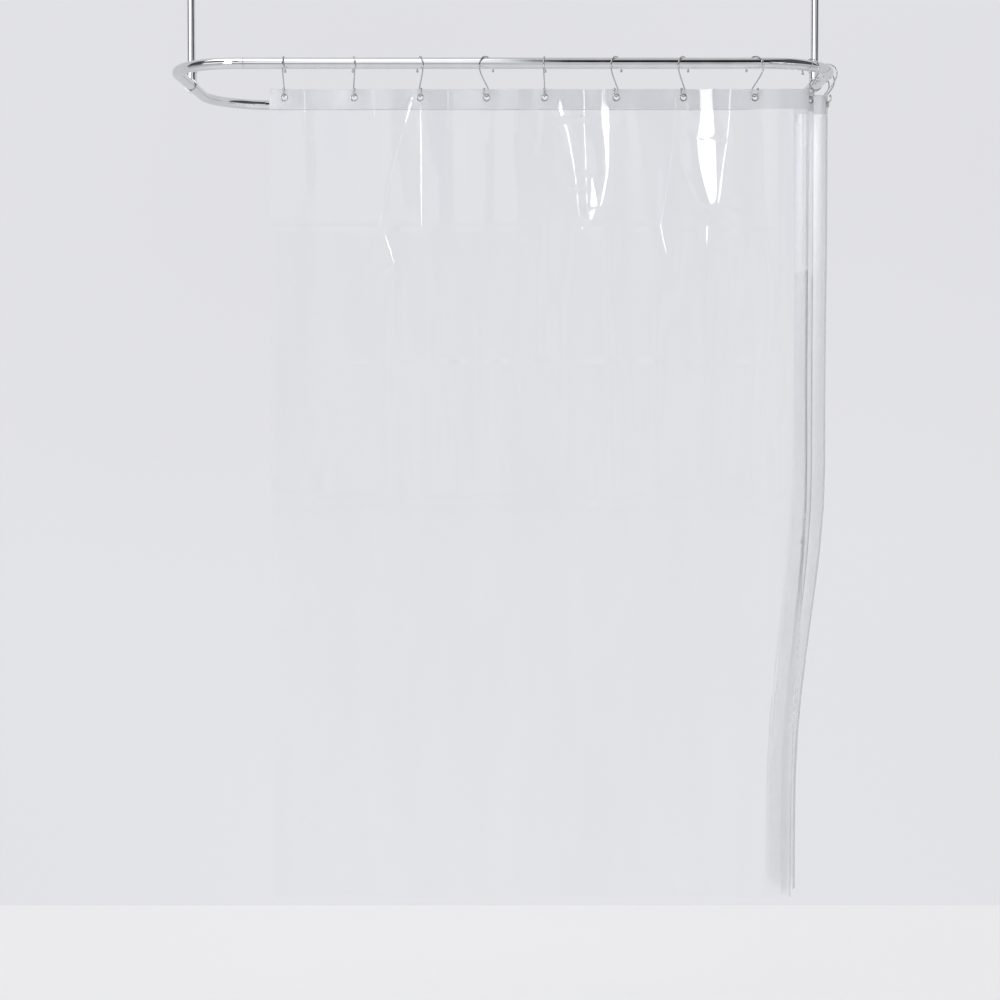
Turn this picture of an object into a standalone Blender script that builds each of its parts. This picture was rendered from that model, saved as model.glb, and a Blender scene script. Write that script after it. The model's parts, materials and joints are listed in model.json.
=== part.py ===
# Shower curtain on a ceiling-hung hoop rail: clear film, eyelets, S-hooks, rail,
# support tubes, collars and ceiling flanges. Metres, +Z up. The origin is on the
# ceiling plane midway between the two flanges, +X to the right along the front
# run, +Y away from the front run.
import math

import bmesh
import bpy
from mathutils import Matrix, Vector

# ---------------------------------------------------------------- dimensions
RING_WIDTH = 1.524  # hoop, outside to outside along X
RING_DEPTH = 0.686  # hoop, outside to outside along Y
RAIL_OD = 0.025
RAIL_WALL = 0.0012
BEND_RADIUS = 0.165  # corner bend, to the tube's centreline
SEAM_SETBACK = 0.0085  # straight tube ends this far before the bend starts
CEILING_DROP = 0.305  # ceiling to the rail's centreline

JOINER_RADIUS = 0.0104
JOINER_LENGTH = 0.070

SUPPORT_OD = 0.019
SUPPORT_WALL = 0.0012
COLLAR_LENGTH = 0.034
COLLAR_RADIUS = 0.0152
STUB_RADIUS = 0.0125
STUB_TOP = 0.042  # above the rail's centreline
FLANGE_RADIUS = 0.0325
FLANGE_NECK = 0.0138
FLANGE_DEPTH = 0.024
SCREW_HOLE_RADIUS = 0.0026
SCREW_CIRCLE = 0.0235

FLAT_WIDTH = 1.830  # the film before hanging, across
FLAT_HEIGHT = 1.830  # the film before hanging, top to bottom
FILM_TOP = 0.057  # film's top edge below the rail's centreline
HEADER_HEIGHT = 0.044
FILM_THICK = 0.0004
LAYER_STEP = 0.0007  # film to header band, middle to middle
BOTTOM_TUCK = 0.045  # how far the lower edge swings in towards the hoop's middle

EYELETS = 12
EDGE_MARGIN = 0.0325  # first eyelet to the film's side edge
EYELET_DROP = 0.0758  # eyelet's centre below the rail's centreline
EYELET_HOLE = 0.0054
EYELET_BARREL = 0.0060
EYELET_FLANGE = 0.0085
FILM_HOLE = 0.0064
PATCH_HALF = 0.0110  # flat film each side of an eyelet

WIRE = 0.0015  # hook wire's radius
BALL = 0.0030
HOOK_LOOP = 0.0239
HOOK_LOOP_DROP = 0.0089
HOOK_EYE = 0.0098
HOOK_EYE_DROP = 0.0638

# Where each hook hangs: distance along the rail's centreline from the middle of
# the front run, and how far it is turned about the vertical.
HOOK_STATIONS = (
    (-0.4866, 0.0),
    (-0.3315, -10.0),
    (-0.1844, -18.0),
    (-0.0375, 40.0),
    (0.0917, 6.0),
    (0.2509, 33.0),
    (0.3996, 33.0),
    (0.5583, -45.0),
    (0.6968, 0.0),
    (0.7803, 10.0),
    (0.8737, -12.0),
    (0.9487, 14.0),
)

HALF_W = (RING_WIDTH - RAIL_OD) / 2
HALF_D = (RING_DEPTH - RAIL_OD) / 2
RAIL_Z = -CEILING_DROP
STRAIGHT_X = HALF_W - BEND_RADIUS
STRAIGHT_Y = HALF_D - BEND_RADIUS
PITCH = (FLAT_WIDTH - 2 * EDGE_MARGIN) / (EYELETS - 1)

# ---------------------------------------------------------------- clean start
for item in list(bpy.data.objects):
    bpy.data.objects.remove(item, do_unlink=True)

PARTS = bpy.data.collections.new("shower_curtain")
CUTTERS = bpy.data.collections.new("shower_curtain_cutters")
bpy.context.scene.collection.children.link(PARTS)
bpy.context.scene.collection.children.link(CUTTERS)


# ---------------------------------------------------------------- helpers
def material(name, colour, roughness, metallic=0.0, transmission=0.0):
    mat = bpy.data.materials.new(name)
    mat.use_nodes = True
    shader = mat.node_tree.nodes["Principled BSDF"]
    shader.inputs["Base Color"].default_value = (*colour, 1.0)
    shader.inputs["Roughness"].default_value = roughness
    shader.inputs["Metallic"].default_value = metallic
    shader.inputs["Transmission Weight"].default_value = transmission
    return mat


def place(name, data, mat=None, collection=PARTS):
    obj = bpy.data.objects.new(name, data)
    collection.objects.link(obj)
    if mat is not None:
        obj.data.materials.clear()
        obj.data.materials.append(mat)
    return obj


def own_material(obj, base, name):
    """Each piece keeps a material of its own, even where the mesh is shared."""
    mat = base.copy()
    mat.name = name
    if not obj.data.materials:
        obj.data.materials.append(base)
    obj.material_slots[0].link = "OBJECT"
    obj.material_slots[0].material = mat


def wire_curve(name, points, depth, resolution, radii=None, caps=True):
    curve = bpy.data.curves.new(name, "CURVE")
    curve.dimensions = "3D"
    curve.bevel_depth = depth
    curve.bevel_resolution = resolution
    curve.use_fill_caps = caps
    spline = curve.splines.new("POLY")
    spline.points.add(len(points) - 1)
    for i, point in enumerate(points):
        spline.points[i].co = (*point, 1.0)
        spline.points[i].radius = 1.0 if radii is None else radii[i]
    return curve


def curve_to_mesh(curve, name):
    """The curve's evaluated surface as a mesh, its caps welded on."""
    holder = place(name + "_path", curve, collection=CUTTERS)
    bpy.context.view_layer.update()
    graph = bpy.context.evaluated_depsgraph_get()
    mesh = bpy.data.meshes.new_from_object(holder.evaluated_get(graph))
    mesh.name = name
    work = bmesh.new()
    work.from_mesh(mesh)
    bmesh.ops.remove_doubles(work, verts=work.verts, dist=1e-6)
    bmesh.ops.recalc_face_normals(work, faces=work.faces)
    work.to_mesh(mesh)
    work.free()
    bpy.data.objects.remove(holder, do_unlink=True)
    return mesh


def hollow_tube(name, points, outer, wall, resolution, mat):
    """A tube: its outer skin without caps, thickened inwards."""
    mesh = curve_to_mesh(
        wire_curve(name, points, outer, resolution, caps=False), name
    )
    obj = place(name, mesh, mat)
    for face in mesh.polygons:
        face.use_smooth = True
    shell = obj.modifiers.new("wall", "SOLIDIFY")
    shell.thickness = wall
    shell.offset = -1.0
    shell.use_rim = True
    return obj


def cylinder(name, radius, length, centre, axis="Z", sides=24, collection=CUTTERS):
    mesh = bpy.data.meshes.new(name)
    work = bmesh.new()
    bmesh.ops.create_cone(
        work,
        cap_ends=True,
        cap_tris=False,
        segments=sides,
        radius1=radius,
        radius2=radius,
        depth=length,
    )
    turn = {
        "Z": Matrix.Identity(4),
        "Y": Matrix.Rotation(math.pi / 2, 4, "X"),
        "X": Matrix.Rotation(math.pi / 2, 4, "Y"),
    }[axis]
    bmesh.ops.transform(work, matrix=turn, verts=work.verts)
    work.to_mesh(mesh)
    work.free()
    obj = bpy.data.objects.new(name, mesh)
    obj.location = centre
    collection.objects.link(obj)
    if collection is CUTTERS:
        obj.hide_render = True
        obj.display_type = "WIRE"
    return obj


def boolean(obj, cutter, operation, name):
    mod = obj.modifiers.new(name, "BOOLEAN")
    mod.object = cutter
    mod.operation = operation
    mod.solver = "EXACT"
    return mod


def turned(name, profile, sides, mat):
    """A turned shape about local Z. The profile runs down its outer side."""
    mesh = bpy.data.meshes.new(name)
    closed = profile[0][0] > 1e-9
    work = bmesh.new()
    verts = [work.verts.new((r, 0.0, z)) for r, z in profile]
    for a, b in zip(verts, verts[1:] + (verts[:1] if closed else [])):
        work.edges.new((a, b))
    work.to_mesh(mesh)
    work.free()
    obj = place(name, mesh, mat)
    spin = obj.modifiers.new("turn", "SCREW")
    spin.steps = sides
    spin.render_steps = sides
    spin.use_merge_vertices = True
    spin.merge_threshold = 0.00001
    spin.use_smooth_shade = True
    return obj


def lerp(a, b, t):
    return a + (b - a) * t


def smooth(t):
    t = min(1.0, max(0.0, t))
    return t * t * (3.0 - 2.0 * t)


# ---------------------------------------------------------------- rail's path
def rail_at(s):
    """Point, direction and inward normal of the rail's centreline, s metres to
    the right of the middle of the front run and on round the right-hand bend."""
    arc = BEND_RADIUS * math.pi / 2
    if s <= STRAIGHT_X:
        return Vector((s, -HALF_D)), Vector((1, 0)), Vector((0, 1))
    if s <= STRAIGHT_X + arc:
        a = (s - STRAIGHT_X) / BEND_RADIUS
        point = Vector(
            (
                STRAIGHT_X + BEND_RADIUS * math.sin(a),
                -STRAIGHT_Y - BEND_RADIUS * math.cos(a),
            )
        )
        return (
            point,
            Vector((math.cos(a), math.sin(a))),
            Vector((-math.sin(a), math.cos(a))),
        )
    return (
        Vector((HALF_W, -STRAIGHT_Y + s - STRAIGHT_X - arc)),
        Vector((0, 1)),
        Vector((-1, 0)),
    )


def end_path(side, steps=8):
    """Centreline of one U-shaped end: a bend, the side run and a bend."""
    points = [Vector((side * (STRAIGHT_X - SEAM_SETBACK), -HALF_D, RAIL_Z))]
    for i in range(steps + 1):
        a = i / steps * math.pi / 2
        points.append(
            Vector(
                (
                    side * (STRAIGHT_X + BEND_RADIUS * math.sin(a)),
                    -STRAIGHT_Y - BEND_RADIUS * math.cos(a),
                    RAIL_Z,
                )
            )
        )
    back = [Vector((p.x, -p.y, p.z)) for p in reversed(points)]
    return points + back


# ---------------------------------------------------------------- materials
CHROME = material("chrome", (0.86, 0.87, 0.88), 0.08, 1.0)
INNER_STEEL = material("inner_steel", (0.55, 0.56, 0.57), 0.35, 1.0)
HOOK_METAL = material("hook_chrome", (0.80, 0.81, 0.83), 0.12, 1.0)
EYELET_METAL = material("eyelet_nickel", (0.76, 0.76, 0.77), 0.22, 1.0)
SCREW_METAL = material("screw_steel", (0.45, 0.46, 0.47), 0.35, 1.0)
FILM = material("clear_film", (0.90, 0.91, 0.93), 0.08, 0.0, 0.9)
HEADER = material("header_film", (0.82, 0.83, 0.86), 0.18, 0.0, 0.7)

# ---------------------------------------------------------------- rail
for side, name in ((-1, "rail_left"), (1, "rail_right")):
    hollow_tube(name, end_path(side), RAIL_OD / 2, RAIL_WALL, 4, CHROME.copy())
run_end = STRAIGHT_X - SEAM_SETBACK - 0.0003
for y, name in ((-HALF_D, "rail_front"), (HALF_D, "rail_back")):
    hollow_tube(
        name,
        [Vector((-run_end, y, RAIL_Z)), Vector((run_end, y, RAIL_Z))],
        RAIL_OD / 2,
        RAIL_WALL,
        4,
        CHROME.copy(),
    )
for sx, sy, name in (
    (-1, -1, "rail_joiner_front_left"),
    (1, -1, "rail_joiner_front_right"),
    (-1, 1, "rail_joiner_back_left"),
    (1, 1, "rail_joiner_back_right"),
):
    # set towards the straight tube, so that its far end stays short of the bend
    joiner = cylinder(
        name,
        JOINER_RADIUS,
        JOINER_LENGTH,
        (
            sx * (STRAIGHT_X - JOINER_LENGTH / 2 - 0.0003),
            sy * HALF_D,
            RAIL_Z,
        ),
        "X",
        12,
        PARTS,
    )
    joiner.data.materials.append(INNER_STEEL.copy())

# ---------------------------------------------------------------- supports
for side, word in ((-1, "left"), (1, "right")):
    x = side * HALF_W
    hollow_tube(
        "support_tube_" + word,
        [Vector((x, 0, RAIL_Z + 0.0165)), Vector((x, 0, -0.0052))],
        SUPPORT_OD / 2,
        SUPPORT_WALL,
        4,
        CHROME.copy(),
    )

    # T-shaped collar: a sleeve round the side run and a socket for the tube
    collar = cylinder(
        "support_collar_" + word,
        COLLAR_RADIUS,
        COLLAR_LENGTH,
        (x, 0, RAIL_Z),
        "Y",
        24,
        PARTS,
    )
    collar.data.materials.append(CHROME.copy())
    stub = cylinder(
        "cut_stub_" + word,
        STUB_RADIUS,
        STUB_TOP - 0.004,
        (x, 0, RAIL_Z + (STUB_TOP + 0.004) / 2),
        "Z",
        24,
    )
    bore = cylinder(
        "cut_sleeve_" + word, RAIL_OD / 2 + 0.0004, 0.08, (x, 0, RAIL_Z), "Y", 24
    )
    socket = cylinder(
        "cut_socket_" + word,
        SUPPORT_OD / 2 + 0.0004,
        0.060,
        (x, 0, RAIL_Z + 0.0160 + 0.030),
        "Z",
        24,
    )
    grub_hole = cylinder(
        "cut_grub_" + word,
        0.0024,
        0.012,
        (x - side * (STUB_RADIUS + 0.001), 0, RAIL_Z + 0.032),
        "X",
        12,
    )
    boolean(collar, stub, "UNION", "socket body")
    boolean(collar, bore, "DIFFERENCE", "rail bore")
    boolean(collar, socket, "DIFFERENCE", "tube socket")
    boolean(collar, grub_hole, "DIFFERENCE", "grub screw hole")
    grub = cylinder(
        "collar_set_screw_" + word,
        0.0020,
        0.0030,
        (x - side * (SUPPORT_OD / 2 + 0.0004 + 0.0016), 0, RAIL_Z + 0.032),
        "X",
        8,
        PARTS,
    )
    grub.data.materials.append(SCREW_METAL.copy())

    # ceiling flange: a dished disc with a neck that takes the tube
    flange = turned(
        "ceiling_flange_" + word,
        (
            (0.0, 0.0),
            (FLANGE_RADIUS, 0.0),
            (FLANGE_RADIUS, -0.0028),
            (FLANGE_RADIUS - 0.0016, -0.0044),
            (FLANGE_NECK + 0.0040, -0.0062),
            (FLANGE_NECK, -0.0100),
            (FLANGE_NECK, -FLANGE_DEPTH),
            (SUPPORT_OD / 2 + 0.0004, -FLANGE_DEPTH),
            (SUPPORT_OD / 2 + 0.0004, -0.0048),
            (0.0, -0.0048),
        ),
        24,
        CHROME.copy(),
    )
    flange.location = (x, 0, 0)
    for i in range(3):
        a = math.radians(90 + 120 * i)
        hole = cylinder(
            "cut_flange_%s_%d" % (word, i),
            SCREW_HOLE_RADIUS,
            0.03,
            (x + SCREW_CIRCLE * math.cos(a), SCREW_CIRCLE * math.sin(a), 0),
            "Z",
            12,
        )
        boolean(flange, hole, "DIFFERENCE", "screw hole %d" % (i + 1))
    neck_hole = cylinder(
        "cut_neck_" + word,
        0.0024,
        0.012,
        (x - side * (FLANGE_NECK + 0.001), 0, -0.017),
        "X",
        12,
    )
    boolean(flange, neck_hole, "DIFFERENCE", "grub screw hole")
    grub = cylinder(
        "flange_set_screw_" + word,
        0.0020,
        0.0036,
        (x - side * (SUPPORT_OD / 2 + 0.0004 + 0.0018), 0, -0.017),
        "X",
        8,
        PARTS,
    )
    grub.data.materials.append(SCREW_METAL.copy())


# ---------------------------------------------------------------- film
def gap_points(start, end, t0, t1, n0, n1, sign, length, steps):
    """Points of the film between two flat patches: a cubic from one to the
    other with a smooth fold of the depth that gives it the stated length."""
    reach = (end - start).length

    def at(t, depth):
        h00 = 2 * t**3 - 3 * t**2 + 1
        h10 = t**3 - 2 * t**2 + t
        h01 = -2 * t**3 + 3 * t**2
        h11 = t**3 - t**2
        base = h00 * start + h10 * reach * t0 + h01 * end + h11 * reach * t1
        across = lerp(n0, n1, t).normalized()
        return base + across * (sign * depth * math.sin(math.pi * t) ** 2)

    def run(depth):
        fine = [at(i / 60, depth) for i in range(61)]
        return sum((b - a).length for a, b in zip(fine, fine[1:]))

    low, high = 0.0, length
    for _ in range(40):
        middle = (low + high) / 2
        if run(middle) < length:
            low = middle
        else:
            high = middle
    return [at(i / steps, low) for i in range(steps + 1)]


FOLD_SIGNS = (1, -1, 1, -1, 1, -1, 1, 1, 1, 1, 1)
FOLD_STEPS = (5, 5, 5, 5, 5, 5, 5, 5, 6, 6, 6)


def section(tuck, outward=0.0):
    """Plan of the film at one height: moved in by tuck, and offset outwards."""
    spots = []
    for s, _ in HOOK_STATIONS:
        p, t, n = rail_at(s)
        spots.append((p + n * tuck, t, n))
    points = [spots[0][0] - spots[0][1] * EDGE_MARGIN]
    points.append(spots[0][0] - spots[0][1] * PATCH_HALF)
    for k in range(EYELETS - 1):
        p0, t0, n0 = spots[k]
        p1, t1, n1 = spots[k + 1]
        points += gap_points(
            p0 + t0 * PATCH_HALF,
            p1 - t1 * PATCH_HALF,
            t0,
            t1,
            n0,
            n1,
            FOLD_SIGNS[k],
            PITCH - 2 * PATCH_HALF,
            FOLD_STEPS[k],
        )
    points.append(spots[-1][0] + spots[-1][1] * PATCH_HALF)
    points.append(spots[-1][0] + spots[-1][1] * EDGE_MARGIN)
    if outward:
        moved = []
        for i, p in enumerate(points):
            a = (p - points[i - 1]).normalized() if i else None
            b = (points[i + 1] - p).normalized() if i + 1 < len(points) else None
            a = a or b
            b = b or a
            na, nb = Vector((a.y, -a.x)), Vector((b.y, -b.x))
            mitre = (na + nb).normalized()
            moved.append(p + mitre * (outward / max(0.3, mitre.dot(na))))
        points = moved
    return points


def sheet(name, levels, mat):
    """A skin lofted through plans at several heights, then thickened."""
    work = bmesh.new()
    rows = [
        [work.verts.new((p.x, p.y, z)) for p in plan] for z, plan in levels
    ]
    for upper, lower in zip(rows, rows[1:]):
        for i in range(len(upper) - 1):
            work.faces.new((upper[i], lower[i], lower[i + 1], upper[i + 1]))
    mesh = bpy.data.meshes.new(name)
    work.to_mesh(mesh)
    work.free()
    for face in mesh.polygons:
        face.use_smooth = True
    obj = place(name, mesh, mat)
    skin = obj.modifiers.new("thickness", "SOLIDIFY")
    skin.thickness = FILM_THICK
    skin.offset = 0.0
    skin.use_even_offset = True
    skin.use_rim = True
    return obj


TOP_Z = RAIL_Z - FILM_TOP
EYELET_Z = RAIL_Z - EYELET_DROP
header_bottom = TOP_Z - HEADER_HEIGHT
drops = (0.0, HEADER_HEIGHT, 0.32, 0.70, 1.10, 1.47, FLAT_HEIGHT)
film_levels = [
    (TOP_Z - d, section(BOTTOM_TUCK * smooth((d - 0.2) / (FLAT_HEIGHT - 0.2))))
    for d in drops
]
film = sheet("curtain_film", film_levels, FILM)
band_plan = section(0.0, LAYER_STEP)
header = sheet(
    "header_band",
    [(TOP_Z, band_plan), (header_bottom, band_plan)],
    HEADER,
)

# holes for the eyelets, through both layers
for k, (s, _) in enumerate(HOOK_STATIONS):
    p, t, n = rail_at(s)
    punch = cylinder(
        "cut_eyelet_%02d" % (k + 1),
        FILM_HOLE,
        0.012,
        (p.x, p.y, EYELET_Z),
        "Y",
        12,
    )
    punch.rotation_euler = (0, 0, math.atan2(t.y, t.x))
    boolean(film, punch, "DIFFERENCE", "hole %02d" % (k + 1))
    boolean(header, punch, "DIFFERENCE", "hole %02d" % (k + 1))

# ---------------------------------------------------------------- eyelets
# Turned about local Z, with local +Z towards the outside of the hoop.
FRONT = FILM_THICK / 2 + LAYER_STEP + 0.0003  # back of the front flange
BACK = -(FILM_THICK / 2 + 0.0003)  # front of the back washer
eyelet_mesh = None
washer_mesh = None
for k, (s, _) in enumerate(HOOK_STATIONS):
    p, t, n = rail_at(s)
    spin = (math.pi / 2, 0, math.atan2(t.y, t.x))
    name = "grommet_%02d" % (k + 1)
    if eyelet_mesh is None:
        eyelet = turned(
            name,
            (
                (EYELET_FLANGE - 0.0004, FRONT + 0.0006),
                (EYELET_FLANGE, FRONT),
                (EYELET_BARREL, FRONT),
                (EYELET_BARREL, BACK - 0.0006),
                (EYELET_HOLE, BACK - 0.0006),
                (EYELET_HOLE, FRONT + 0.0006),
            ),
            12,
            EYELET_METAL,
        )
        eyelet_mesh = eyelet.data
    else:
        eyelet = place(name, eyelet_mesh)
        screw = eyelet.modifiers.new("turn", "SCREW")
        screw.steps = screw.render_steps = 12
        screw.use_merge_vertices = True
        screw.merge_threshold = 0.00001
        screw.use_smooth_shade = True
    own_material(eyelet, EYELET_METAL, "eyelet_nickel_%02d" % (k + 1))
    eyelet.location = (p.x, p.y, EYELET_Z)
    eyelet.rotation_euler = spin

    name = "grommet_washer_%02d" % (k + 1)
    if washer_mesh is None:
        washer = turned(
            name,
            (
                (EYELET_FLANGE, BACK),
                (EYELET_FLANGE - 0.0004, BACK - 0.0006),
                (EYELET_BARREL + 0.0003, BACK - 0.0006),
                (EYELET_BARREL + 0.0003, BACK),
            ),
            12,
            EYELET_METAL,
        )
        washer_mesh = washer.data
    else:
        washer = place(name, washer_mesh)
        screw = washer.modifiers.new("turn", "SCREW")
        screw.steps = screw.render_steps = 12
        screw.use_merge_vertices = True
        screw.merge_threshold = 0.00001
        screw.use_smooth_shade = True
    own_material(washer, EYELET_METAL, "washer_nickel_%02d" % (k + 1))
    washer.location = (p.x, p.y, EYELET_Z)
    washer.rotation_euler = spin


# ---------------------------------------------------------------- hooks
def hook_path():
    """Centreline and wire thickness of an S-hook in its own plane: local +Y is
    towards the inside of the hoop, Z is up from the rail's centreline."""
    points, radii = [], []

    def arc(cy, cz, radius, a0, a1, steps, first=0):
        for i in range(first, steps + 1):
            a = math.radians(lerp(a0, a1, i / steps))
            points.append(
                Vector((0, cy + radius * math.cos(a), cz + radius * math.sin(a)))
            )
            radii.append(1.0)

    # over the rail: from the ball behind it, over the top, to the outside
    arc(0, -HOOK_LOOP_DROP, HOOK_LOOP, -14, 207, 12)
    # across under the rail, round the eye from the inside, up to the outer tip
    arc(0, -HOOK_EYE_DROP, HOOK_EYE, 22, -218, 9)

    def ball(end, inner):
        """Rings of a ball of BALL radius whose middle is on the wire's end."""
        direction = (end - inner).normalized()
        rings = []
        for a in (-58, -20, 20, 62):
            a = math.radians(a)
            rings.append((end + direction * (BALL * math.sin(a)), BALL / WIRE * math.cos(a)))
        return rings

    head = ball(points[0], points[1])
    tail = ball(points[-1], points[-2])
    points = [p for p, _ in reversed(head)] + points[1:-1] + [p for p, _ in tail]
    radii = [r for _, r in reversed(head)] + radii[1:-1] + [r for _, r in tail]
    return points, radii


hook_points, hook_radii = hook_path()
hook_mesh = curve_to_mesh(
    wire_curve("s_hook", hook_points, WIRE, 1, hook_radii), "s_hook"
)
for face in hook_mesh.polygons:
    face.use_smooth = True
hook_mesh.materials.append(HOOK_METAL)
for k, (s, yaw) in enumerate(HOOK_STATIONS):
    p, t, n = rail_at(s)
    hook = place("hook_%02d" % (k + 1), hook_mesh)
    own_material(hook, HOOK_METAL, "hook_chrome_%02d" % (k + 1))
    hook.location = (p.x, p.y, RAIL_Z)
    # the plane of the hook is turned from the inward normal by its yaw
    hook.rotation_euler = (0, 0, math.atan2(t.y, t.x) - math.radians(yaw))

bpy.context.view_layer.update()
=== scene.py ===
import json
import math

import bmesh
import bpy
import numpy as np
from mathutils import Matrix, Vector


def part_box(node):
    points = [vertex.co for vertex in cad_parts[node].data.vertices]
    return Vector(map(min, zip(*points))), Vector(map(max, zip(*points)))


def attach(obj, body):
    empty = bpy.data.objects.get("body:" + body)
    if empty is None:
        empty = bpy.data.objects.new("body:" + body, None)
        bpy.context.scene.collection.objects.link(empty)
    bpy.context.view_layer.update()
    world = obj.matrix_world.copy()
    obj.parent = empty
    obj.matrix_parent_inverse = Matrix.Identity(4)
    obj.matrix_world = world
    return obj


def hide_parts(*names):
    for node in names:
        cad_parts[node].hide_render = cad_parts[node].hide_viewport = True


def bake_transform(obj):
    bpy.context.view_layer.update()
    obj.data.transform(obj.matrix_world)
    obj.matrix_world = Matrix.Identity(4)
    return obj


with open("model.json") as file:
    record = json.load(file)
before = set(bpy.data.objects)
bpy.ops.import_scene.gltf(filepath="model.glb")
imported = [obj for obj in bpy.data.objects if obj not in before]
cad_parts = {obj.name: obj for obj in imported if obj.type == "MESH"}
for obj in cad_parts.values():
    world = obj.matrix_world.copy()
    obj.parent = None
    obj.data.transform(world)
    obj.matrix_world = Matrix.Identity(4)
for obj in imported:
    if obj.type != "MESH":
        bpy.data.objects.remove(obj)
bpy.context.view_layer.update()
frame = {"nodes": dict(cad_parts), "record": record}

RECORD = frame["record"]
JOINTS = {j["name"]: j for j in RECORD["behaviour"]["joints"]}

# ------------------------------------------------------------ places, from the CAD
rail_lo, rail_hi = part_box("rail_front")
RAIL_R = 0.0125
RAIL_Z = (rail_lo[2] + rail_hi[2]) / 2
FRONT_Y = (rail_lo[1] + rail_hi[1]) / 2
right_lo, right_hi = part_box("rail_right")
HALF_W = right_hi[0] - RAIL_R
HALF_D = -FRONT_Y
BEND_R = 0.165
SEAM_X = right_lo[0]
STRAIGHT_X = HALF_W - BEND_R
STRAIGHT_Y = HALF_D - BEND_R
eye_lo, eye_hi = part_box("grommet_01")
EYE_Z = (eye_lo[2] + eye_hi[2]) / 2
film_lo, film_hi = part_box("curtain_film")
TOP_Z = film_hi[2]
band_lo, band_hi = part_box("header_band")
HEADER = band_hi[2] - band_lo[2]
SHEET_W, SHEET_H = 1.830, 1.830
EDGE = 0.0325
PITCH = (SHEET_W - 2 * EDGE) / 11
PATCH = 0.0110

HOOKS = []
for k in range(1, 13):
    j = JOINTS["hook_%02d_swivel" % k]
    x, y, z = j["pos_m"]
    # rest yaw is the middle of the swivel's range
    yaw = sum(j["range_deg"]) / 2
    if x <= STRAIGHT_X + 1e-6:
        a = 0.0
    elif y <= -STRAIGHT_Y + 1e-6:
        a = math.atan2(x - STRAIGHT_X, -(y + STRAIGHT_Y))
    else:
        a = math.pi / 2
    HOOKS.append((np.array([x, y]), a, yaw))


def link(name, mesh, mat=None, smooth=True):
    obj = bpy.data.objects.new(name, mesh)
    bpy.context.scene.collection.objects.link(obj)
    if mat is not None:
        mesh.materials.append(mat)
    if smooth:
        mesh.shade_smooth()
    return obj


def mesh_from(name, verts, faces):
    mesh = bpy.data.meshes.new(name)
    mesh.from_pydata([tuple(map(float, v)) for v in verts], [], faces)
    mesh.validate()
    mesh.update()
    return mesh


# ------------------------------------------------------------ materials
def nodes_of(name):
    mat = bpy.data.materials.new(name)
    mat.use_nodes = True
    nt = mat.node_tree
    return mat, nt, nt.nodes["Principled BSDF"]


def add(nt, kind, **values):
    node = nt.nodes.new(kind)
    for key, value in values.items():
        if key in node.inputs:
            node.inputs[key].default_value = value
        else:
            setattr(node, key, value)
    return node


def mapped(nt, scale=(1, 1, 1)):
    coord = nt.nodes.new("ShaderNodeTexCoord")
    mapping = nt.nodes.new("ShaderNodeMapping")
    mapping.inputs["Scale"].default_value = scale
    nt.links.new(coord.outputs["Object"], mapping.inputs["Vector"])
    return mapping.outputs["Vector"]


def noise(nt, vector, scale, detail=3.0, rough=0.5):
    n = nt.nodes.new("ShaderNodeTexNoise")
    n.inputs["Scale"].default_value = scale
    n.inputs["Detail"].default_value = detail
    n.inputs["Roughness"].default_value = rough
    nt.links.new(vector, n.inputs["Vector"])
    return n.outputs["Fac"]


def ramp(nt, fac, stops):
    r = nt.nodes.new("ShaderNodeValToRGB")
    while len(r.color_ramp.elements) < len(stops):
        r.color_ramp.elements.new(0.5)
    for element, (pos, colour) in zip(r.color_ramp.elements, stops):
        element.position = pos
        element.color = (*colour, 1.0) if len(colour) == 3 else colour
    nt.links.new(fac, r.inputs["Fac"])
    return r.outputs["Color"]


def spread(nt, fac, low, high, from_min=0.3, from_max=0.7):
    m = nt.nodes.new("ShaderNodeMapRange")
    m.inputs["From Min"].default_value = from_min
    m.inputs["From Max"].default_value = from_max
    m.inputs["To Min"].default_value = low
    m.inputs["To Max"].default_value = high
    nt.links.new(fac, m.inputs["Value"])
    return m.outputs["Result"]


def bump(nt, shader, height, strength, distance):
    b = nt.nodes.new("ShaderNodeBump")
    b.inputs["Strength"].default_value = strength
    b.inputs["Distance"].default_value = distance
    nt.links.new(height, b.inputs["Height"])
    nt.links.new(b.outputs["Normal"], shader.inputs["Normal"])
    return b


def chrome(name, low=(0.78, 0.79, 0.81), high=(0.86, 0.865, 0.875), rough=(0.035, 0.09), grain=0.00002):
    """Polished chrome: faint clouding and fine polishing marks; a Voronoi spot texture is made but not connected."""
    mat, nt, p = nodes_of(name)
    vec = mapped(nt)
    cloud = noise(nt, vec, 22.0, 4.0)
    nt.links.new(ramp(nt, cloud, [(0.3, low), (0.7, high)]), p.inputs["Base Color"])
    spots = nt.nodes.new("ShaderNodeTexVoronoi")
    spots.feature = "DISTANCE_TO_EDGE"
    spots.inputs["Scale"].default_value = 160.0
    nt.links.new(vec, spots.inputs["Vector"])
    fine = noise(nt, vec, 420.0, 2.0)
    mix = nt.nodes.new("ShaderNodeMath")
    mix.operation = "ADD"
    nt.links.new(spread(nt, cloud, rough[0], rough[1]), mix.inputs[0])
    nt.links.new(spread(nt, fine, 0.0, 0.02), mix.inputs[1])
    nt.links.new(mix.outputs[0], p.inputs["Roughness"])
    p.inputs["Metallic"].default_value = 1.0
    bump(nt, p, fine, 0.25, grain)
    return mat


CHROME = chrome("polished_chrome")
HOOK_CHROME = chrome("hook_wire_chrome", (0.54, 0.54, 0.55), (0.66, 0.66, 0.67), (0.08, 0.16))
NICKEL = chrome("eyelet_nickel", (0.50, 0.49, 0.48), (0.64, 0.635, 0.62), (0.12, 0.22))
STEEL = chrome("grub_screw_steel", (0.30, 0.30, 0.31), (0.45, 0.45, 0.46), (0.25, 0.4), 0.00005)


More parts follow.
